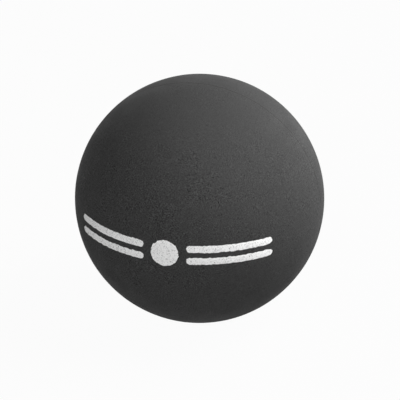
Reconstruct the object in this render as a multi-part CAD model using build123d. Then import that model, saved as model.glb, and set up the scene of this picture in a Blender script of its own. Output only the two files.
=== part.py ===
from build123d import *
from math import asin, degrees, radians, sin, sqrt
import os

# Squash ball: two moulded rubber half shells, cemented rim to rim round sealed air,
# with a mark pad-printed on the front one.
#
# Frame: origin at the ball's centre, +Z up, the print faces -Y. The half shells are
# cups about the Y axis, so the seam is the great circle in the XZ plane, as far from
# the print as it can be.

# Driving dimensions, in millimetres and degrees

# The ball and its rubber
ball_diameter = 40.0
wall = 5.2

# The cemented seam: a film between two flat ground rims, a bevel round each inner edge
# that takes the cement squeezed out, and the bead that it leaves inside
cement_thickness = 0.12
rim_bevel = 0.8
bead_height = 0.5
seam_recess = 0.02

# The printed mark: a dot between two pairs of stripes, an ink film on the front shell
ink_thickness = 0.05
dot_diameter = 4.4
stripe_width = 1.15
stripe_gap = 0.9
dot_clearance = 1.2
mark_reach = 49.5  # how far round the ball each stripe ends, from the middle of the print

# Sizes worked out from those above
ball_radius = ball_diameter / 2
inner_radius = ball_radius - wall
rim_height = cement_thickness / 2
bevel_top = rim_height + rim_bevel
ink_radius = ball_radius + ink_thickness


def radius_at(height, sphere_radius):
    """How far from the shells' axis a sphere about the centre is, at a height above the seam."""
    return sqrt(sphere_radius**2 - height**2)


def arc_to_pole(height, sphere_radius):
    """The arc of a sphere's profile from a height above the seam up to its pole."""
    start = degrees(asin(height / sphere_radius))
    return CenterArc((0, 0), sphere_radius, start, 90 - start)


# Corners of the seam in section, as (distance from the shells' axis, height above the seam)
rim_outer = (radius_at(rim_height, ball_radius), rim_height)
bevel_inner = (radius_at(bevel_top, inner_radius), bevel_top)
rim_inner = (bevel_inner[0] + rim_bevel, rim_height)


def below_seam(corner):
    """The matching corner on the other half shell."""
    return (corner[0], -corner[1])


def half_shell():
    """One rubber cup, its pole on +Y, with a flat rim that is bevelled inside."""
    section = [
        arc_to_pole(rim_height, ball_radius),
        Polyline(rim_outer, rim_inner, bevel_inner),
        arc_to_pole(bevel_top, inner_radius),
        Line((0, inner_radius), (0, ball_radius)),
    ]
    return revolve(make_face(section), Axis.Y)


def seam_cement():
    """The cement ring: a film between the rims that fills both bevels and bulges inside."""
    film_outer = (rim_outer[0] - seam_recess, rim_height)
    crest = (bevel_inner[0] - bead_height, 0)
    section = [
        Polyline(bevel_inner, rim_inner, film_outer),
        Line(film_outer, below_seam(film_outer)),
        Polyline(below_seam(film_outer), below_seam(rim_inner), below_seam(bevel_inner)),
        ThreePointArc(below_seam(bevel_inner), crest, bevel_inner),
    ]
    return revolve(make_face(section), Axis.Y)


def ink_skin():
    """Ink all over the outside of the front half shell, for the printed outlines to be cut from."""
    section = [
        arc_to_pole(rim_height, ball_radius),
        Line(rim_outer, (radius_at(rim_height, ink_radius), rim_height)),
        arc_to_pole(rim_height, ink_radius),
        Line((0, ball_radius), (0, ink_radius)),
    ]
    return mirror(revolve(make_face(section), Axis.Y), about=Plane.XZ)


def printed(outline):
    """Ink where a flat outline, drawn facing -Y, is pressed onto the front half shell."""
    return ink_skin() & extrude(Plane.XZ * outline, ink_radius)


def stripe(side, row):
    """One stripe of the mark: side is -1 left or 1 right of the dot, row is -1 below or 1 above."""
    near_end = dot_diameter / 2 + dot_clearance
    far_end = ball_radius * sin(radians(mark_reach))
    middle = (near_end + far_end) / 2
    offset = (stripe_gap + stripe_width) / 2
    return printed(Pos(side * middle, row * offset) * SlotOverall(far_end - near_end, stripe_width))


rear_half_shell = half_shell()
front_half_shell = mirror(rear_half_shell, about=Plane.XZ)
stripes = [stripe(side, row) for side in (-1, 1) for row in (-1, 1)]

nodes = {
    "front_half_shell": front_half_shell,
    "rear_half_shell": rear_half_shell,
    "seam_cement": seam_cement(),
    "printed_stripes": Compound(children=[solid for ink in stripes for solid in ink.solids()]),
    "printed_dot": printed(Circle(dot_diameter / 2)),
}

os.makedirs("parts", exist_ok=True)
for name, shape in nodes.items():
    export_step(shape, f"parts/{name}.step")
    print(f"{name}: {len(shape.solids())} solids, {shape.volume:.2f} mm3")
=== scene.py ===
# %% [markdown]
# # Dressing a squash ball
# A squash ball is two rubber cups, cemented rim to rim, ground matt and printed with a soft
# pad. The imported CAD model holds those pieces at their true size. This lesson makes each of
# them again as a finer mesh in the same place and gives it a finish of shader nodes.
# Everything is in metres with +Z up, and the print faces -Y.

# %% Load the frame
import math
import random

import bmesh
import bpy
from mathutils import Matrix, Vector, noise
from mathutils.geometry import delaunay_2d_cdt


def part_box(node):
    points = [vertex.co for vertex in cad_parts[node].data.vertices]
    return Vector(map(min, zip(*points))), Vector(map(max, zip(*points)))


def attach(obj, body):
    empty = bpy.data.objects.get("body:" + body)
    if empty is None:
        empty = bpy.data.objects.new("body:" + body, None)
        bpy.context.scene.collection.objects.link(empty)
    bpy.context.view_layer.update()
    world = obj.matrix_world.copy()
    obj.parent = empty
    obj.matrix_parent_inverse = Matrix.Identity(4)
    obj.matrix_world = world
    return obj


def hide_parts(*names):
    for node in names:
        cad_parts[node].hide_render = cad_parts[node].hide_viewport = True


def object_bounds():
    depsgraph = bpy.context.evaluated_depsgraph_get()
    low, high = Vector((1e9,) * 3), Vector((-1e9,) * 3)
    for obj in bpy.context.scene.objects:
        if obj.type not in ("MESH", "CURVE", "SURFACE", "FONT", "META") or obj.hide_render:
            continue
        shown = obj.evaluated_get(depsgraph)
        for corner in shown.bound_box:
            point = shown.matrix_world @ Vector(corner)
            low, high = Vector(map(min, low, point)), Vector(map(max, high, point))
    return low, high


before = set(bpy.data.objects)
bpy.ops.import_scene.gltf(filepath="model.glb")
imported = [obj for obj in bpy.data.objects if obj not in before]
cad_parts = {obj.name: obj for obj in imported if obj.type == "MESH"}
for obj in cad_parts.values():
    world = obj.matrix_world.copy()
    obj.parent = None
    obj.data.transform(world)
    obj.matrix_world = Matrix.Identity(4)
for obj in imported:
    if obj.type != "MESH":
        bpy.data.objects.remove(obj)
cad_low, cad_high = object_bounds()
print("CAD nodes:", ", ".join(sorted(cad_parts)))

# %% [markdown]
# ## Measuring the ball
# The sizes could be typed in, but then a change to the CAD model would leave the dressing
# behind. So they are read off its nodes. Both cups are turned about the Y axis: their poles
# give the ball's radius, their rims give the width of the seam, and the corner nearest to the
# centre gives the radius of the hollow. The cement gives the rest: how high the bevels are,
# how far below the skin it stops and how far in its bead comes.

# %% Measure the ball
MM = 0.001


def corners_of(node):
    """The corners of a CAD node's mesh."""
    return [corner.co.copy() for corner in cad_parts[node].data.vertices]


def axis_distance(point):
    """How far a point is from the Y axis, which the cups are turned about."""
    return math.hypot(point.x, point.z)


rear_low, rear_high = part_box("rear_half_shell")
cement_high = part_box("seam_cement")[1]
BALL_RADIUS = rear_high.y
RIM_HEIGHT = rear_low.y
HOLLOW_RADIUS = min(corner.length for corner in corners_of("rear_half_shell"))
BEVEL_TOP = cement_high.y
SEAM_RECESS = BALL_RADIUS - cement_high.x
BEAD_RADIUS = min(axis_distance(corner) for corner in corners_of("seam_cement"))
print(f"ball {2 * BALL_RADIUS / MM:.2f} mm across, wall {(BALL_RADIUS - HOLLOW_RADIUS) / MM:.2f} mm")
print(f"seam {2 * RIM_HEIGHT / MM:.2f} mm wide and {SEAM_RECESS / MM:.3f} mm deep")

# %% [markdown]
# ## A skin that was ground, not turned
# The ball is tumbled against grit until it is matt, so its skin is never a perfect sphere: it
# swells a little over several millimetres and has a faint peel over one or two. A displacement
# texture could do that to one mesh, but the cups, the cement and the ink all have to follow
# the same skin. A function of direction gives them one answer, and it only dips inwards.

# %% The ground skin
SWELL_PITCH = 6 * MM
SWELL_DEPTH = 0.03 * MM
PEEL_PITCH = 1.4 * MM
PEEL_DEPTH = 0.006 * MM


def skin_radius(direction):
    """How far the ground skin is from the ball's centre, in a direction of length 1."""
    spot = direction * BALL_RADIUS
    swell = 0.5 + 0.5 * noise.noise(spot / SWELL_PITCH)
    peel = 0.5 + 0.5 * noise.noise(spot / PEEL_PITCH)
    return BALL_RADIUS - SWELL_DEPTH * swell - PEEL_DEPTH * peel


print(f"the skin dips by up to {(SWELL_DEPTH + PEEL_DEPTH) / MM:.3f} mm")

# %% [markdown]
# ## Nodes in fewer words
# A material is a tree of nodes. It could be drawn by hand in the node editor, but a script can
# be read and changed. These helpers add one node, set what is plain and link what comes from
# another node, so that each line of a material reads as one step.

# %% Node helpers
# A Mix node has inputs A and B and an output Result for each kind of value, so they go by number
MIX_VALUE_A = 2
MIX_VALUE_B = 3
MIX_COLOUR_A = 6
MIX_COLOUR_B = 7
MIXED_COLOUR = 2


def add(tree, kind, inputs=None, **settings):
    """Adds a node with its settings, and sets or links its inputs, by name or by number."""
    made = tree.nodes.new(kind)
    for setting, value in settings.items():
        setattr(made, setting, value)
    for name, value in (inputs or {}).items():
        if isinstance(value, bpy.types.NodeSocket):
            tree.links.new(value, made.inputs[name])
        else:
            made.inputs[name].default_value = value
    return made


def arithmetic(tree, operation, *values):
    """One step of arithmetic on numbers or sockets."""
    return add(tree, "ShaderNodeMath", dict(enumerate(values)), operation=operation).outputs[0]


def remap(tree, value, low, high, to_low, to_high):
    """Stretches low..high to to_low..to_high, and holds the value between them."""
    limits = {"Value": value, "From Min": low, "From Max": high, "To Min": to_low, "To Max": to_high}
    return add(tree, "ShaderNodeMapRange", limits).outputs["Result"]


def blend_values(tree, share, first, second):
    """The first value where share is 0, the second where it is 1."""
    ends = {0: share, MIX_VALUE_A: first, MIX_VALUE_B: second}
    return add(tree, "ShaderNodeMix", ends).outputs[0]


def blend_colours(tree, share, first, second):
    """The first colour where share is 0, the second where it is 1."""
    ends = {0: share, MIX_COLOUR_A: first, MIX_COLOUR_B: second}
    return add(tree, "ShaderNodeMix", ends, data_type="RGBA").outputs[MIXED_COLOUR]


print("helpers: add, arithmetic, remap, blend_values, blend_colours")

# %% [markdown]
# ## Effects to share
# An effect that several finishes share could be copied from tree to tree. As a node group it is
# made once, with named inputs and outputs, and each finish gives it values of its own. Sizes in
# these groups are in millimetres, because that is how a ball is measured.

# %% Group helpers
METRE_TO_MM = 1000


def new_group(name, inputs, outputs):
    """A node group with a Position, number inputs with their usual values, and number outputs."""
    group = bpy.data.node_groups.new(name, "ShaderNodeTree")
    group.interface.new_socket("Position", in_out="INPUT", socket_type="NodeSocketVector")
    for socket, value in inputs.items():
        made = group.interface.new_socket(socket, in_out="INPUT", socket_type="NodeSocketFloat")
        made.default_value = value
    for socket in outputs:
        group.interface.new_socket(socket, in_out="OUTPUT", socket_type="NodeSocketFloat")
    given = group.nodes.new("NodeGroupInput").outputs
    result = group.nodes.new("NodeGroupOutput").inputs
    scaled = {0: given["Position"], "Scale": METRE_TO_MM}
    millimetres = add(group, "ShaderNodeVectorMath", scaled, operation="SCALE").outputs[0]
    return group, given, result, millimetres


def use_group(tree, group, position, values):
    """Places a group in a material with its own values, and gives its outputs."""
    return add(tree, "ShaderNodeGroup", {"Position": position, **values}, node_tree=group).outputs


print("helpers: new_group, use_group")

# %% [markdown]
# ## Grinding marks, a group
# Grit leaves short strokes that run one way for a few millimetres and then another. An image
# of strokes would need a map of the ball. Noise that is stretched along one direction in space
# needs none: three such noises, turned differently, take over from each other in patches. The
# ink takes the same marks as the rubber under it, so this is a group.

# %% Grinding marks
GRIND_TURNS = ((0.3, 0.2, 0.0), (1.4, 0.5, 0.8), (0.4, 1.3, 2.1))
SECOND_TAKES_OVER = (0.42, 0.58)
THIRD_TAKES_OVER = (0.46, 0.60)

grinding_marks, given, result, millimetres = new_group(
    "Grinding marks",
    {"Stroke width": 0.2, "Stroke length": 0.6, "Patch size": 3.5},
    ("Marks", "Patches"),
)
across = arithmetic(grinding_marks, "DIVIDE", 1.0, given["Stroke width"])
along = arithmetic(grinding_marks, "DIVIDE", 1.0, given["Stroke length"])
stretch = add(grinding_marks, "ShaderNodeCombineXYZ", {"X": across, "Y": across, "Z": along}).outputs[0]
strokes = []
for turn in GRIND_TURNS:
    placed = {"Vector": millimetres, "Rotation": turn}
    turned = add(grinding_marks, "ShaderNodeVectorRotate", placed, rotation_type="EULER_XYZ").outputs[0]
    drawn = add(grinding_marks, "ShaderNodeVectorMath", {0: turned, 1: stretch}, operation="MULTIPLY")
    stroke = {"Vector": drawn.outputs[0], "Scale": 1.0, "Detail": 1.0, "Roughness": 0.5}
    strokes.append(add(grinding_marks, "ShaderNodeTexNoise", stroke).outputs["Fac"])
patch_scale = arithmetic(grinding_marks, "DIVIDE", 1.0, given["Patch size"])
patch_grid = {"Vector": millimetres, "Scale": patch_scale, "Detail": 1.0}
patch_noise = add(grinding_marks, "ShaderNodeTexNoise", patch_grid)
patches = add(grinding_marks, "ShaderNodeSeparateColor", {0: patch_noise.outputs["Color"]}).outputs
second_share = remap(grinding_marks, patches["Red"], *SECOND_TAKES_OVER, 0.0, 1.0)
third_share = remap(grinding_marks, patches["Green"], *THIRD_TAKES_OVER, 0.0, 1.0)
two_ways = blend_values(grinding_marks, second_share, strokes[0], strokes[1])
marks = blend_values(grinding_marks, third_share, two_ways, strokes[2])
grinding_marks.links.new(marks, result["Marks"])
grinding_marks.links.new(patches["Blue"], result["Patches"])
print(f"{grinding_marks.name}: {len(grinding_marks.nodes)} nodes")

# %% [markdown]
# ## Pits, a group
# Filler tears out of rubber as it is ground and leaves pits, and the ink has pinholes over
# them. Voronoi cells are a good start, because each has a middle to put a pit in and a random
# colour: one channel decides whether the cell has a pit and another how wide it is.

# %% Pits
NARROWEST_PIT = 0.4

pitting, given, result, millimetres = new_group(
    "Pits", {"Spacing": 0.6, "Share": 0.3, "Width": 0.2}, ("Pits",)
)
pit_scale = arithmetic(pitting, "DIVIDE", 1.0, given["Spacing"])
cells = add(pitting, "ShaderNodeTexVoronoi", {"Vector": millimetres, "Scale": pit_scale})
chance = add(pitting, "ShaderNodeSeparateColor", {0: cells.outputs["Color"]}).outputs
widening = arithmetic(pitting, "ADD", NARROWEST_PIT, chance["Green"])
reach = arithmetic(pitting, "MULTIPLY", given["Width"], widening)
outwards = arithmetic(pitting, "DIVIDE", cells.outputs["Distance"], reach)
hollow = arithmetic(pitting, "MAXIMUM", arithmetic(pitting, "SUBTRACT", 1.0, outwards), 0.0)
present = arithmetic(pitting, "LESS_THAN", chance["Red"], given["Share"])
pitting.links.new(arithmetic(pitting, "MULTIPLY", hollow, present), result["Pits"])
print(f"{pitting.name}: {len(pitting.nodes)} nodes")

# %% [markdown]
# ## Dust, a group
# A matt ball picks up a little pale dust as it is handled. It could be a second mesh of
# specks, but at this size a mask is enough: fine noise, cut high, and thinned out in patches.

# %% Dust
DRIFT_SCALE = 0.15
SPECK_CUT = (0.58, 0.74)
DRIFT_RANGE = (0.40, 0.65)
THINNEST_DRIFT = 0.2

dusting, given, result, millimetres = new_group("Dust", {"Speck": 0.25, "Amount": 0.5}, ("Dust",))
speck_scale = arithmetic(dusting, "DIVIDE", 1.0, given["Speck"])
speck_grid = {"Vector": millimetres, "Scale": speck_scale, "Detail": 3.0}
specks = add(dusting, "ShaderNodeTexNoise", speck_grid)
drift_grid = {"Vector": millimetres, "Scale": DRIFT_SCALE, "Detail": 2.0}
drifts = add(dusting, "ShaderNodeTexNoise", drift_grid)
fine = remap(dusting, specks.outputs["Fac"], *SPECK_CUT, 0.0, 1.0)
broad = remap(dusting, drifts.outputs["Fac"], *DRIFT_RANGE, THINNEST_DRIFT, 1.0)
spread = arithmetic(dusting, "MULTIPLY", fine, broad)
dusting.links.new(arithmetic(dusting, "MULTIPLY", spread, given["Amount"]), result["Dust"])
print(f"{dusting.name}: {len(dusting.nodes)} nodes")

# %% [markdown]
# ## Starting a finish
# Every finish starts with a Principled shader and a place to lay its patterns out in. A map of
# the surface would have cuts in it. The object's own coordinates have none, and all pieces of
# the ball share them, so a pattern runs on from one piece to the next. Most colours here are
# greys, given as the share of the light that they send back.

# %% Finish helpers
def grey(share):
    """The grey that sends back this share of the light."""
    return (share, share, share, 1.0)


def new_finish(name):
    """A material, its tree, its shader and the object's own coordinates."""
    material = bpy.data.materials.new(name)
    material.use_nodes = True
    tree = material.node_tree
    position = tree.nodes.new("ShaderNodeTexCoord").outputs["Object"]
    return material, tree, tree.nodes["Principled BSDF"], position


def join(tree, shader, **sockets):
    """Links sockets to the shader's inputs, whose names have spaces where these have underscores."""
    for name, socket in sockets.items():
        tree.links.new(socket, shader.inputs[name.replace("_", " ")])


print("helpers: grey, new_finish, join")

# %% [markdown]
# ## Ground rubber
# Rubber this black sends back about 5% of the light. What makes it read as rubber is the
# broad, dull shine and the grain that shows where the light rakes across it, and one flat grey
# would lose both. So one value, the grain, sets both the colour and the height of the marks,
# and a second Bump node adds the pits. The photographed ball is smoother towards its crown, so
# the grain fades there, unevenly.

# %% Ground rubber
FINE_STROKES = {"Stroke width": 0.068, "Stroke length": 0.28}
SMALL_PITS = {"Spacing": 0.42, "Share": 0.35, "Width": 0.2}
LIGHT_DUST = {"Amount": 0.05}
MARKS_RANGE = (0.28, 0.72)
MARKS_HEIGHT = 0.0045 * MM
PITS_DEPTH = 0.006 * MM
CROWN_STARTS = 13 * MM
CROWN_FADES = 7 * MM
CROWN_UNEVEN = 4 * MM
CROWN_GRAIN = 0.4
PATCHES_RANGE = (0.35, 0.65)
RUBBER_DARK = grey(0.0045)
RUBBER_PALE = grey(0.089)
RUBBER_ROUGHNESS = (0.66, 0.74)
RUBBER_SHINE = 0.04
DUST_GREY = grey(0.16)


def ground_rubber():
    """The outside of the cups: matt, finely grained black rubber."""
    material, tree, shader, position = new_finish("ground_rubber")
    grind = use_group(tree, grinding_marks, position, FINE_STROKES)
    pits = use_group(tree, pitting, position, SMALL_PITS)
    dust = use_group(tree, dusting, position, LIGHT_DUST)
    height = add(tree, "ShaderNodeSeparateXYZ", {0: position}).outputs["Z"]
    crown = arithmetic(tree, "MULTIPLY_ADD", grind["Patches"], CROWN_UNEVEN, height)
    coarse = remap(tree, crown, CROWN_STARTS, CROWN_STARTS + CROWN_FADES, 1.0, CROWN_GRAIN)
    swing = remap(tree, grind["Marks"], *MARKS_RANGE, -0.5, 0.5)
    grain = arithmetic(tree, "MULTIPLY_ADD", swing, coarse, 0.5)
    black = blend_colours(tree, grain, RUBBER_DARK, RUBBER_PALE)
    dusty = blend_colours(tree, dust["Dust"], black, DUST_GREY)
    marked = add(tree, "ShaderNodeBump", {"Height": grain, "Distance": MARKS_HEIGHT}).outputs[0]
    pits_bump = {"Height": pits["Pits"], "Distance": PITS_DEPTH, "Normal": marked}
    pitted = add(tree, "ShaderNodeBump", pits_bump, invert=True).outputs[0]
    roughness = remap(tree, grind["Patches"], *PATCHES_RANGE, *RUBBER_ROUGHNESS)
    join(tree, shader, Base_Color=dusty, Roughness=roughness, Normal=pitted)
    shader.inputs["Specular IOR Level"].default_value = RUBBER_SHINE
    return material


RUBBER = ground_rubber()
print(f"{RUBBER.name}: {len(RUBBER.node_tree.nodes)} nodes")

# %% [markdown]
# ## Moulded rubber
# Inside, the cups are as they left the mould: smoother, a little shinier and dusted with the
# powder that keeps them from sticking. The ground finish would be wrong there, but its groups
# serve again, with wider, weaker marks.

# %% Moulded rubber
FLOW_LINES = {"Stroke width": 0.5, "Stroke length": 2.0}
MOULD_POWDER = {"Speck": 0.4, "Amount": 0.35}
FLOW_HEIGHT = 0.006 * MM
MOULDED_GREY = grey(0.028)
MOULDED_ROUGHNESS = (0.45, 0.80)


def moulded_rubber():
    """The inside of the cups, as it came out of the mould, and the rims, which the cement hides."""
    material, tree, shader, position = new_finish("moulded_rubber")
    flow = use_group(tree, grinding_marks, position, FLOW_LINES)
    powder = use_group(tree, dusting, position, MOULD_POWDER)
    dusty = blend_colours(tree, powder["Dust"], MOULDED_GREY, DUST_GREY)
    roughness = remap(tree, powder["Dust"], 0.0, MOULD_POWDER["Amount"], *MOULDED_ROUGHNESS)
    normal = add(tree, "ShaderNodeBump", {"Height": flow["Marks"], "Distance": FLOW_HEIGHT}).outputs[0]
    join(tree, shader, Base_Color=dusty, Roughness=roughness, Normal=normal)
    return material


MOULDED = moulded_rubber()
print(f"{MOULDED.name}: {len(MOULDED.node_tree.nodes)} nodes")

# %% [markdown]
# ## A dome of even quads
# A cup could be spun on a lathe, as the CAD does it, but that crowds long thin faces round the
# pole. A cube cut into a grid and blown up to a ball has even quads all over. Half of it is
# the outside of the cup and a smaller copy is the inside, and both are moved up from the seam
# a little, to leave room for the rim.

# %% Even dome
DOME_CUTS = 95
HALF_CELL = 1 / (DOME_CUTS + 1)


def seam_direction(point):
    """The direction in the seam's plane that a point lies in."""
    return Vector((point.x, 0, point.z)).normalized()


def even_dome():
    """Half a ball of radius 1 in even quads, its pole on +Y and its edge on the seam."""
    bm = bmesh.new()
    bmesh.ops.create_cube(bm, size=2)
    bmesh.ops.subdivide_edges(bm, edges=bm.edges[:], cuts=DOME_CUTS, use_grid_fill=True)
    below = [corner for corner in bm.verts if corner.co.y < -HALF_CELL]
    bmesh.ops.delete(bm, geom=below, context="VERTS")
    for corner in bm.verts:
        corner.co = Vector([math.tan(part * math.pi / 4) for part in corner.co]).normalized()
    return bm


def above_seam(direction, lowest):
    """A direction moved up so that the dome's edge comes to the angle lowest above the seam."""
    angle = math.atan2(direction.y, axis_distance(direction))
    angle = lowest + angle * (1 - 2 * lowest / math.pi)
    return seam_direction(direction) * math.cos(angle) + Vector((0, math.sin(angle), 0))


print(f"dome cells {math.pi / 2 * BALL_RADIUS / (DOME_CUTS + 1) / MM:.2f} mm wide")

# %% [markdown]
# ## Drawing out a rim
# A rim could be a mesh of its own, sewn to the domes. It is simpler to draw rings of edges out
# from the outer dome's edge, over a tiny rounded corner, the flat rim and the bevel, until they
# meet the inner dome. Blender can extrude edges by itself, but the order of its new faces differs
# from run to run, so they are made one by one. A ground edge is never quite true, so the outer
# one wanders a little, and differently on each cup.

# %% Rim helpers
SEAM_WANDER = 0.02 * MM
WANDER_PITCH = 2.5 * MM
RIMS_DIFFER_BY = 9


def rim_height(flat, side):
    """How far one cup's outer edge is from the middle of the seam: it wanders a little."""
    spot = flat * BALL_RADIUS / WANDER_PITCH + Vector((0, side * RIMS_DIFFER_BY, 0))
    return RIM_HEIGHT + SEAM_WANDER * noise.noise(spot)


def draw_out(bm, ring, place):
    """Draws a ring of edges out, puts each new corner where place says, and gives the new ring."""
    drawn = {}
    for edge in ring:
        for corner in edge.verts:
            if corner not in drawn:
                drawn[corner] = bm.verts.new(place(seam_direction(corner.co)))
    new_ring = []
    for edge in ring:
        first, second = edge.verts
        bm.faces.new((first, second, drawn[second], drawn[first]))
        new_ring.append(bm.edges.get((drawn[first], drawn[second])))
    return new_ring


def edge_place(side, inwards, upwards):
    """Places a corner near the cup's outer edge, in from the skin and up from the edge."""
    def place(flat):
        across = skin_radius(flat) - inwards
        return flat * across + Vector((0, side * (rim_height(flat, side) + upwards), 0))
    return place


def section_place(side, across, height):
    """Places a corner of the rim, across from the Y axis and up from the middle of the seam."""
    def place(flat):
        return flat * across + Vector((0, side * height, 0))
    return place


print(f"each rim's outer edge wanders by up to {SEAM_WANDER / MM:.2f} mm")

# %% [markdown]
# ## From mesh to piece
# Every piece ends the same way, so one helper does it: the mesh becomes an object with its
# finishes, rides on the ball's only body and hides its CAD node. Flat shading would show
# every quad. All faces are shaded smooth, and edges are marked sharp from their angle, so that
# the smooth shading of a dome stops at the seam.

# %% Finish a piece
SHARP_ANGLE = math.radians(35)


def finish_piece(name, bm, node, slot, *materials):
    """Makes a mesh object of a bmesh, shades it, and hides its CAD node."""
    mesh = bpy.data.meshes.new(name)
    bm.to_mesh(mesh)
    bm.free()
    for polygon in mesh.polygons:
        polygon.use_smooth = True
    mesh.set_sharp_from_angle(angle=SHARP_ANGLE)
    for material in materials:
        mesh.materials.append(material)
    piece = bpy.data.objects.new(name, mesh)
    bpy.context.collection.objects.link(piece)
    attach(piece, "root")
    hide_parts(node)
    print(f"{name}: {len(mesh.vertices)} corners, {len(mesh.polygons)} faces")
    return piece


print(f"edges over {math.degrees(SHARP_ANGLE):.0f} degrees are sharp")

# %% [markdown]
# ## The half shells
# The two cups are the same shape facing opposite ways, so one function makes both: side is 1
# for the rear cup and -1 for the front one. A mirrored copy would repeat every dip of the skin.
# This way each cup takes its own dips from the ground skin. Faces near the skin get the ground
# finish, and all others the moulded one.

# %% Half shells
CORNER_ROUND = 0.02 * MM
LAST_ROW = 0.08 * MM
MERGE_DISTANCE = 0.001 * MM
BEVEL_INNER = math.sqrt(HOLLOW_RADIUS**2 - BEVEL_TOP**2)
RIM_INNER = BEVEL_INNER + BEVEL_TOP - RIM_HEIGHT
GROUND_DOWN_TO = BALL_RADIUS - RIM_HEIGHT - LAST_ROW


def half_shell(name, node, side):
    """One cup: outside, rounded corner, rim, bevel and inside."""
    bm = even_dome()
    outer = bm.verts[:]
    outer_edge = [edge for edge in bm.edges if edge.is_boundary]
    copied = bmesh.ops.duplicate(bm, geom=bm.verts[:] + bm.edges[:] + bm.faces[:])["geom"]
    inner = [part for part in copied if isinstance(part, bmesh.types.BMVert)]
    facing = Vector((1, side, 1))
    for corner in outer:
        lowest = (rim_height(seam_direction(corner.co), side) + LAST_ROW) / BALL_RADIUS
        direction = above_seam(corner.co, lowest) * facing
        corner.co = direction * skin_radius(direction)
    for corner in inner:
        direction = above_seam(corner.co, math.asin(BEVEL_TOP / HOLLOW_RADIUS)) * facing
        corner.co = direction * HOLLOW_RADIUS
    halfway_round = CORNER_ROUND * (1 - math.sqrt(0.5))
    ring = draw_out(bm, outer_edge, edge_place(side, 0, CORNER_ROUND))
    ring = draw_out(bm, ring, edge_place(side, halfway_round, halfway_round))
    ring = draw_out(bm, ring, edge_place(side, CORNER_ROUND, 0))
    ring = draw_out(bm, ring, section_place(side, RIM_INNER, RIM_HEIGHT))
    draw_out(bm, ring, section_place(side, BEVEL_INNER, BEVEL_TOP))
    bmesh.ops.remove_doubles(bm, verts=bm.verts, dist=MERGE_DISTANCE)
    bmesh.ops.recalc_face_normals(bm, faces=bm.faces)
    for face in bm.faces:
        face.material_index = int(face.calc_center_median().length < GROUND_DOWN_TO)
    return finish_piece(name, bm, node, "black_rubber", RUBBER, MOULDED)


rear_cup = half_shell("rear_cup", "rear_half_shell", 1)
front_cup = half_shell("front_cup", "front_half_shell", -1)

# %% [markdown]
# ## Cured cement
# Rubber cement cures to nearly the colour of the rubber, a little browner, with long lines
# where it was pulled thin. Outside, all that shows of it is a hairline. The rubber's finish
# could be used again, but the bead inside was never ground, so it has no grain.

# %% Cured cement
PULL_LINES = {"Stroke width": 0.3, "Stroke length": 1.2}
CEMENT_DUST = {"Amount": 0.15}
PULL_RANGE = (0.3, 0.7)
PULL_HEIGHT = 0.01 * MM
CEMENT_DARK = (0.038, 0.037, 0.036, 1.0)
CEMENT_PALE = (0.050, 0.048, 0.046, 1.0)
CEMENT_ROUGHNESS = (0.6, 0.7)
CEMENT_SHINE = 0.06


def cured_cement():
    """Cured cement: a browner black than the rubber, without its grain."""
    material, tree, shader, position = new_finish("cured_cement")
    pull = use_group(tree, grinding_marks, position, PULL_LINES)
    dust = use_group(tree, dusting, position, CEMENT_DUST)
    pulled = remap(tree, pull["Marks"], *PULL_RANGE, 0.0, 1.0)
    brown = blend_colours(tree, pulled, CEMENT_DARK, CEMENT_PALE)
    dusty = blend_colours(tree, dust["Dust"], brown, DUST_GREY)
    normal = add(tree, "ShaderNodeBump", {"Height": pull["Marks"], "Distance": PULL_HEIGHT}).outputs[0]
    roughness = remap(tree, pull["Patches"], *PATCHES_RANGE, *CEMENT_ROUGHNESS)
    join(tree, shader, Base_Color=dusty, Roughness=roughness, Normal=normal)
    shader.inputs["Specular IOR Level"].default_value = CEMENT_SHINE
    return material


CEMENT = cured_cement()
print(f"{CEMENT.name}: {len(CEMENT.node_tree.nodes)} nodes")

# %% [markdown]
# ## The cement ring
# The cement fills the gap between the rims and both bevels, and squeezes out inside as an
# uneven bead. The gap could be filled from the cups' own meshes, but the ring is a piece by
# itself, so it is lathed: one section is set down all the way round, once for each cell of the
# domes' edges, and only its lips and its bead change as it goes.

# %% The cement ring
SEAM_STEPS = 4 * (DOME_CUTS + 1)
BEAD_POINTS = 7
BEAD_UNEVEN = 0.35
BEAD_PITCH = 4 * MM


def cement_section(flat):
    """The corners of the ring's section at one direction: lips, rims, bevels and bead."""
    lip = skin_radius(flat) - SEAM_RECESS
    corners = [(lip, rim_height(flat, 1)), (lip, -rim_height(flat, -1))]
    corners += [(RIM_INNER, -RIM_HEIGHT), (BEVEL_INNER, -BEVEL_TOP)]
    swelling = 1 + BEAD_UNEVEN * noise.noise(flat * BALL_RADIUS / BEAD_PITCH)
    for point in range(1, BEAD_POINTS):
        along = 2 * point / BEAD_POINTS - 1
        bulge = (BEVEL_INNER - BEAD_RADIUS) * swelling * (1 - along**2)
        corners.append((BEVEL_INNER - bulge, along * BEVEL_TOP))
    corners += [(BEVEL_INNER, BEVEL_TOP), (RIM_INNER, RIM_HEIGHT)]
    return [flat * across + Vector((0, height, 0)) for across, height in corners]


def cement_ring():
    """The ring of cement, section by section round the seam."""
    bm = bmesh.new()
    rows = []
    for step in range(SEAM_STEPS):
        turn = 2 * math.pi * step / SEAM_STEPS
        flat = Vector((math.cos(turn), 0, math.sin(turn)))
        rows.append([bm.verts.new(place) for place in cement_section(flat)])
    for row, next_row in zip(rows, rows[1:] + rows[:1]):
        for corner in range(len(row)):
            before = corner - 1
            bm.faces.new((row[before], row[corner], next_row[corner], next_row[before]))
    bmesh.ops.recalc_face_normals(bm, faces=bm.faces)
    return finish_piece("seam_ring", bm, "seam_cement", "rubber_cement", CEMENT)


seam_ring = cement_ring()

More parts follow.
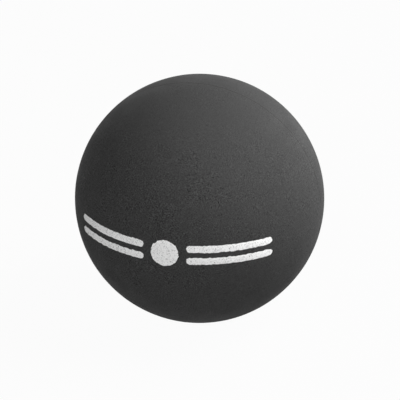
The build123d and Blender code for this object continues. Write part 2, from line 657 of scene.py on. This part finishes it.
# %% [markdown]
# ## Printed ink
# Pad-printing ink is a thin white film. It is matt, but its broad shine is strong enough to
# pick up the white round the ball. It covers the grinding marks without hiding them, wears to
# grey specks and leaves pinholes over the pits. A plain white would float over the ball. The
# rubber's own marks and pits, in the same places, are what makes it look laid on.

# %% Printed ink
WORN_SPECKS = {"Stroke width": 0.15, "Stroke length": 0.2}
WORN_RANGE = (0.34, 0.50)
MOST_WORN = 0.7
PINHOLE_COVER = 0.9
INK_MARKS_HEIGHT = 0.008 * MM
INK_BRIGHT = (0.95, 0.95, 0.945, 1.0)
INK_DULL = (0.91, 0.91, 0.905, 1.0)
WORN_GREY = grey(0.42)
PINHOLE_GREY = grey(0.12)
INK_ROUGHNESS = 0.6
INK_SHINE = 1.0


def printed_ink():
    """The print: white with grey specks and pinholes, and a trace of the marks below."""
    material, tree, shader, position = new_finish("printed_ink")
    grind = use_group(tree, grinding_marks, position, FINE_STROKES)
    pits = use_group(tree, pitting, position, SMALL_PITS)
    wear = use_group(tree, grinding_marks, position, WORN_SPECKS)
    thin = remap(tree, wear["Marks"], *WORN_RANGE, MOST_WORN, 0.0)
    white = blend_colours(tree, grind["Patches"], INK_BRIGHT, INK_DULL)
    worn = blend_colours(tree, thin, white, WORN_GREY)
    pinholes = arithmetic(tree, "MULTIPLY", pits["Pits"], PINHOLE_COVER)
    holed = blend_colours(tree, pinholes, worn, PINHOLE_GREY)
    marks_bump = {"Height": grind["Marks"], "Distance": INK_MARKS_HEIGHT}
    marked = add(tree, "ShaderNodeBump", marks_bump).outputs[0]
    join(tree, shader, Base_Color=holed, Normal=marked)
    shader.inputs["Roughness"].default_value = INK_ROUGHNESS
    shader.inputs["Specular IOR Level"].default_value = INK_SHINE
    return material


INK = printed_ink()
print(f"{INK.name}: {len(INK.node_tree.nodes)} nodes")

# %% [markdown]
# ## Where the mark is
# The pad rolls its ink on along Y, so the mark is drawn flat, seen from the front, and pushed
# back onto the skin later. Every outline is a slot with round ends, and the dot is a slot of no
# length. Like the ball, they are measured on the CAD nodes and not typed in again. Flat sizes
# are in millimetres, which keeps their numbers near 1.

# %% Measure the mark
def flat_box(corners):
    """Lowest and highest corner of some points as the pad sees them, in flat millimetres."""
    across = [corner.x / MM for corner in corners]
    up = [corner.z / MM for corner in corners]
    return Vector((min(across), min(up))), Vector((max(across), max(up)))


def slot_in(low, high):
    """Centre, half straight length and radius of the slot that fills a box."""
    radius = (high.y - low.y) / 2
    return (low + high) / 2, (high.x - low.x) / 2 - radius, radius


dot_slot = slot_in(*flat_box(corners_of("printed_dot")))
stripe_corners = corners_of("printed_stripes")
stripe_slots = []
for side in (-1, 1):
    for row in (-1, 1):
        quarter = [corner for corner in stripe_corners if corner.x * side > 0 and corner.z * row > 0]
        stripe_slots.append(slot_in(*flat_box(quarter)))
print(f"dot {2 * dot_slot[2]:.2f} mm across")
print(f"{len(stripe_slots)} stripes {2 * stripe_slots[0][2]:.2f} mm wide")

# %% [markdown]
# ## Ragged outlines
# Ink creeps as it is pressed on, and clean curves would look like stickers. Random steps would
# make the edge jump from point to point. Noise runs on smoothly along it, so each point wanders
# out or in by a slow wave and a quick fray.

# %% Ragged outlines
INK_STEP = 0.07
WAVE = 0.12
WAVE_PITCH = 0.55
FRAY = 0.08
FRAY_PITCH = 0.20


def ragged(point, out):
    """A point of an outline, moved out or in as an inked edge wanders. In flat millimetres."""
    spot = Vector((point.x, point.y, 0))
    wave = WAVE * noise.noise(spot / WAVE_PITCH)
    fray = FRAY * noise.noise(spot / FRAY_PITCH)
    return point + out * (wave + fray)


def slot_outline(centre, straight, radius):
    """Even points round a slot with round ends: straight is half its straight length."""
    cap_steps = round(math.pi * radius / INK_STEP)
    side_steps = round(2 * straight / INK_STEP)
    points = []
    for end in (1, -1):
        for step in range(cap_steps):
            turn = math.pi * (step / cap_steps - 0.5)
            out = Vector((math.cos(turn), math.sin(turn))) * end
            points.append(ragged(centre + Vector((end * straight, 0)) + out * radius, out))
        for step in range(side_steps):
            out = Vector((0, end))
            along = Vector((end * straight * (1 - 2 * step / side_steps), 0))
            points.append(ragged(centre + along + out * radius, out))
    return points


print(f"inked edges wander by up to {WAVE + FRAY:.2f} mm")

# %% [markdown]
# ## Pinholes
# Here and there the pad leaves the rubber bare. The finish has dark spots over the pits already,
# but a real hole has an edge to catch the light, so some are cut out of the film. They are drawn
# with seeded random generators, so that they fall in the same places on every run.

# %% Pinholes
PINHOLES_PER_AREA = 2.0
PINHOLE_SMALL = 0.03
PINHOLE_LARGE = 0.08
PINHOLE_UNEVEN = (0.6, 1.2)
PINHOLE_SIDES = 7
PINHOLE_CLEAR = 0.12
EDGE_CLEAR = 0.20
DOT_SEED = 3
STRIPES_SEED = 5


def depth_inside(point, centre, straight, radius):
    """How far inside a slot a point is. Outside, it is negative."""
    along = max(-straight, min(straight, point.x - centre.x))
    return radius - (point - centre - Vector((along, 0))).length


def draw_pinholes(slot, chooser):
    """Small uneven holes inside a slot, clear of its edge and of each other: (middle, points)."""
    centre, straight, radius = slot
    area = math.pi * radius**2 + 4 * straight * radius
    holes = []
    for _ in range(round(area * PINHOLES_PER_AREA)):
        across = chooser.uniform(-straight - radius, straight + radius)
        middle = centre + Vector((across, chooser.uniform(-radius, radius)))
        size = chooser.uniform(PINHOLE_SMALL, PINHOLE_LARGE)
        ring = []
        for point in range(PINHOLE_SIDES):
            turn = 2 * math.pi * point / PINHOLE_SIDES
            reach = size * chooser.uniform(*PINHOLE_UNEVEN)
            ring.append(middle + reach * Vector((math.cos(turn), math.sin(turn))))
        crowded = any((middle - other).length < 2 * PINHOLE_LARGE + PINHOLE_CLEAR for other, _ in holes)
        if depth_inside(middle, *slot) > PINHOLE_LARGE + EDGE_CLEAR and not crowded:
            holes.append((middle, ring))
    return holes


dot_holes = draw_pinholes(dot_slot, random.Random(DOT_SEED))
stripe_chooser = random.Random(STRIPES_SEED)
stripe_holes = [draw_pinholes(slot, stripe_chooser) for slot in stripe_slots]
print(f"pinholes: {len(dot_holes)} in the dot, {[len(holes) for holes in stripe_holes]} in the stripes")

# %% [markdown]
# ## Filling the outlines
# A curve object would fill an outline, but with long faces that cut through the ball. A
# constrained Delaunay triangulation takes the ragged edge, the pinholes and a grid of points
# inside, and fills the rest with even triangles.

# %% Fill the outlines
INK_GRID = 0.35
INSIDE_WITH_HOLES = 2
SAME_POINT = 1e-5


def fill_slot(slot, holes):
    """Flat points and triangles of one inked slot, round its pinholes."""
    centre, straight, radius = slot
    points = []
    loops = []
    for loop in [slot_outline(*slot)] + [ring for _, ring in holes]:
        loops.append(list(range(len(points), len(points) + len(loop))))
        points += loop
    columns = math.ceil((straight + radius) / INK_GRID)
    rows = math.ceil(radius / INK_GRID)
    for column in range(-columns, columns + 1):
        for row in range(-rows, rows + 1):
            point = centre + INK_GRID * Vector((column, row))
            free = all((point - middle).length > PINHOLE_LARGE + PINHOLE_CLEAR for middle, _ in holes)
            if free and depth_inside(point, *slot) > EDGE_CLEAR:
                points.append(point)
    filled = delaunay_2d_cdt(points, [], loops, INSIDE_WITH_HOLES, SAME_POINT)
    filled_points, _, triangles = filled[:3]
    return filled_points, triangles


dot_fill = fill_slot(dot_slot, dot_holes)
stripe_fills = [fill_slot(slot, holes) for slot, holes in zip(stripe_slots, stripe_holes)]
print(f"dot of {len(dot_fill[1])} triangles, stripes of {[len(fill[1]) for fill in stripe_fills]}")

# %% [markdown]
# ## The ink films
# The film could be a sheet, but a sheet has no edge to catch the light. So each film is
# closed: a foot just under the skin, a top that thins towards every edge, and walls between
# them. Dot and stripes are two pieces, as in the CAD model.

# %% The ink films
FOOT_DEPTH = 0.01 * MM
FILM_SHARE = 0.8
EDGE_SHARE = 0.35
CAD_FILM = -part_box("printed_dot")[0].y - BALL_RADIUS
FILM_HEIGHT = FILM_SHARE * CAD_FILM
EDGE_HEIGHT = EDGE_SHARE * FILM_HEIGHT


def add_film(bm, points, triangles):
    """Puts a flat inked outline onto the skin as a closed film."""
    directed = {(face[corner - 1], face[corner]) for face in triangles for corner in range(3)}
    edges = [(first, second) for first, second in directed if (second, first) not in directed]
    at_edge = {corner for edge in edges for corner in edge}
    feet = []
    tops = []
    for number, point in enumerate(points):
        across, up = point * MM
        forward = math.sqrt(BALL_RADIUS**2 - across**2 - up**2)
        direction = Vector((across, -forward, up)).normalized()
        skin = skin_radius(direction)
        height = EDGE_HEIGHT if number in at_edge else FILM_HEIGHT
        feet.append(bm.verts.new(direction * (skin - FOOT_DEPTH)))
        tops.append(bm.verts.new(direction * (skin + height)))
    for face in triangles:
        bm.faces.new([tops[corner] for corner in face])
        bm.faces.new([feet[corner] for corner in reversed(face)])
    for first, second in edges:
        bm.faces.new((feet[first], feet[second], tops[second], tops[first]))


def printed(name, node, fills):
    """One printed piece, made of one film for each of its filled outlines."""
    bm = bmesh.new()
    for points, triangles in fills:
        add_film(bm, points, triangles)
    return finish_piece(name, bm, node, "white_ink", INK)


ink_dot = printed("ink_dot", "printed_dot", [dot_fill])
ink_stripes = printed("ink_stripes", "printed_stripes", stripe_fills)

# %% [markdown]
# ## Floor
# The ball lies on a plain white floor. A floor lit to pure white would need far too much light
# on the ball, so the camera is shown a white of strength 1 instead, mixed with enough of the
# real floor to keep the ball's shadow. Light Path tells the camera's rays, and those of
# mirrors and glass, from the rays that light the ball.

# %% Floor
FLOOR_SIDE = 6.0
FLOOR_GREY = grey(0.30)
SHOWN_WHITE = 0.96
WHITE = grey(1.0)


def seen_directly(tree):
    """1 for a ray that shows the surface: from the camera, a reflection or glass."""
    path = tree.nodes.new("ShaderNodeLightPath").outputs
    shown = arithmetic(tree, "MAXIMUM", path["Is Camera Ray"], path["Is Glossy Ray"])
    return arithmetic(tree, "MAXIMUM", shown, path["Is Transmission Ray"])


def floor_white():
    """A matt floor that looks nearly white to the camera and still takes a shadow."""
    material, tree, shader, _ = new_finish("floor_white")
    shader.inputs["Base Color"].default_value = FLOOR_GREY
    shader.inputs["Roughness"].default_value = 1.0
    shader.inputs["Specular IOR Level"].default_value = 0.0
    glow = add(tree, "ShaderNodeEmission", {"Color": WHITE, "Strength": 1.0})
    share = arithmetic(tree, "MULTIPLY", seen_directly(tree), SHOWN_WHITE)
    mixed = add(tree, "ShaderNodeMixShader", {0: share, 1: shader.outputs[0], 2: glow.outputs[0]})
    tree.links.new(mixed.outputs[0], tree.nodes["Material Output"].inputs["Surface"])
    return material


bpy.ops.mesh.primitive_plane_add(size=FLOOR_SIDE, location=(0, 0, cad_low.z))
floor = bpy.context.object
floor.name = "floor"
floor.data.materials.append(floor_white())
print(f"floor {FLOOR_SIDE:.0f} m wide at {cad_low.z / MM:.1f} mm")

# %% [markdown]
# ## Background
# Beyond the floor there is only the world. A white world would light the ball from every side
# and flatten it. So the same three kinds of ray see the white that the floor shows, and the
# rays that light the ball get next to nothing. What shades the ball are the lamps.

# %% Background
AMBIENT = 0.01

world = bpy.data.worlds.new("white_studio")
bpy.context.scene.world = world
world.use_nodes = True
air = world.node_tree
air.nodes.clear()
fill_light = add(air, "ShaderNodeBackground", {"Color": WHITE, "Strength": AMBIENT})
white_wall = add(air, "ShaderNodeBackground", {"Color": WHITE, "Strength": SHOWN_WHITE})
two_worlds = {0: seen_directly(air), 1: fill_light.outputs[0], 2: white_wall.outputs[0]}
shown_world = add(air, "ShaderNodeMixShader", two_worlds)
add(air, "ShaderNodeOutputWorld", {"Surface": shown_world.outputs[0]})
print(f"ambient light {AMBIENT}")

# %% [markdown]
# ## Light
# The photograph seems to have a big soft light high on the right, a little behind the ball, and
# the ball's right edge shows a second one, low and further behind. A weak lamp in front lights
# the print, and a faint one behind keeps the left side from sinking into black. Point lamps would
# give hard shadows. Area lamps are the studio's softboxes: the larger and nearer they are, the
# softer the shading. Each is placed by the compass direction and height that it shines from,
# and the two low ones are wide but not tall, so that they stand clear of the floor.

# %% Softboxes
LAMP_DISTANCE = 0.6


def direction_at(azimuth, elevation):
    """The direction from the ball to a place: azimuth 0 is -Y, 90 is +X, in degrees."""
    turn = math.radians(azimuth)
    climb = math.radians(elevation)
    return Vector((math.sin(turn) * math.cos(climb), -math.cos(turn) * math.cos(climb), math.sin(climb)))


def softbox(name, azimuth, elevation, width, height, watts):
    """An oblong area lamp that faces the ball."""
    lamp = bpy.data.lights.new(name, "AREA")
    lamp.shape = "RECTANGLE"
    lamp.size = width
    lamp.size_y = height
    lamp.energy = watts
    holder = bpy.data.objects.new(name, lamp)
    towards = direction_at(azimuth, elevation)
    holder.location = towards * LAMP_DISTANCE
    holder.rotation_mode = "QUATERNION"
    holder.rotation_quaternion = towards.to_track_quat("Z", "Y")
    bpy.context.collection.objects.link(holder)
    print(f"{name}: {watts} W from {azimuth} degrees, {elevation} degrees up")
    return holder


softbox("key_light", azimuth=110, elevation=45, width=0.42, height=0.42, watts=6.1)
rim_light = softbox("rim_light", azimuth=148, elevation=10, width=0.35, height=0.20, watts=1.8)
softbox("front_light", azimuth=8, elevation=31, width=0.35, height=0.35, watts=2.1)
back_light = softbox("back_light", azimuth=215, elevation=12, width=0.35, height=0.20, watts=0.4)

# %% [markdown]
# ## Light for the ball alone
# The two low lamps are so close to the floor that they would draw a bright line on it. Raised,
# they would no longer rake along the ball's edge. Light linking lets them stay: such a lamp
# lights only what is in its collection, here the pieces of the ball.

# %% Light linking
ball_pieces = bpy.data.collections.new("ball_pieces")
for piece in (rear_cup, front_cup, seam_ring, ink_dot, ink_stripes):
    ball_pieces.objects.link(piece)
for low_light in (rim_light, back_light):
    low_light.light_linking.receiver_collection = ball_pieces

# %% [markdown]
# ## Camera
# Product photographs are taken with a long lens. A ball alone doesn't tell how long, so a usual
# one is taken, and the camera's distance follows from the ball's size in the picture. The camera
# turns a hair to put the ball where the photograph has it, so no lens shift is needed.

# %% Camera
VIEW_AZIMUTH = 15.7
VIEW_ELEVATION = 25.9
LENS_MM = 200
SENSOR_MM = 36
PICTURE_SIDE_PX = 400
BALL_RADIUS_PX = 124.8
BALL_CENTRE_PX = (199.6, 198.4)
CLIP_SHARE = 0.1

focal_px = PICTURE_SIDE_PX * LENS_MM / SENSOR_MM
view_distance = BALL_RADIUS / math.sin(math.atan(BALL_RADIUS_PX / focal_px))
metre_per_px = view_distance / focal_px
camera = bpy.data.objects.new("camera", bpy.data.cameras.new("camera"))
camera.data.lens = LENS_MM
camera.data.sensor_width = SENSOR_MM
camera.data.clip_start = CLIP_SHARE * view_distance
camera.location = direction_at(VIEW_AZIMUTH, VIEW_ELEVATION) * view_distance
camera.rotation_mode = "QUATERNION"
level = camera.location.to_track_quat("Z", "Y")
aim_right = (PICTURE_SIDE_PX / 2 - BALL_CENTRE_PX[0]) * metre_per_px
aim_up = (BALL_CENTRE_PX[1] - PICTURE_SIDE_PX / 2) * metre_per_px
aim = level @ Vector((aim_right, aim_up, 0))
camera.rotation_quaternion = (camera.location - aim).to_track_quat("Z", "Y")
bpy.context.collection.objects.link(camera)
bpy.context.scene.camera = camera
bpy.context.scene.view_settings.view_transform = "Standard"
print(f"camera {view_distance / MM:.0f} mm away")

# %% [markdown]
# ## Keeping the size
# The dressed ball has to stay the size of the CAD model, so the CAD model's size is printed.

# %% Sizes and finish
print("CAD size, mm:", [round(side / MM, 3) for side in cad_high - cad_low])
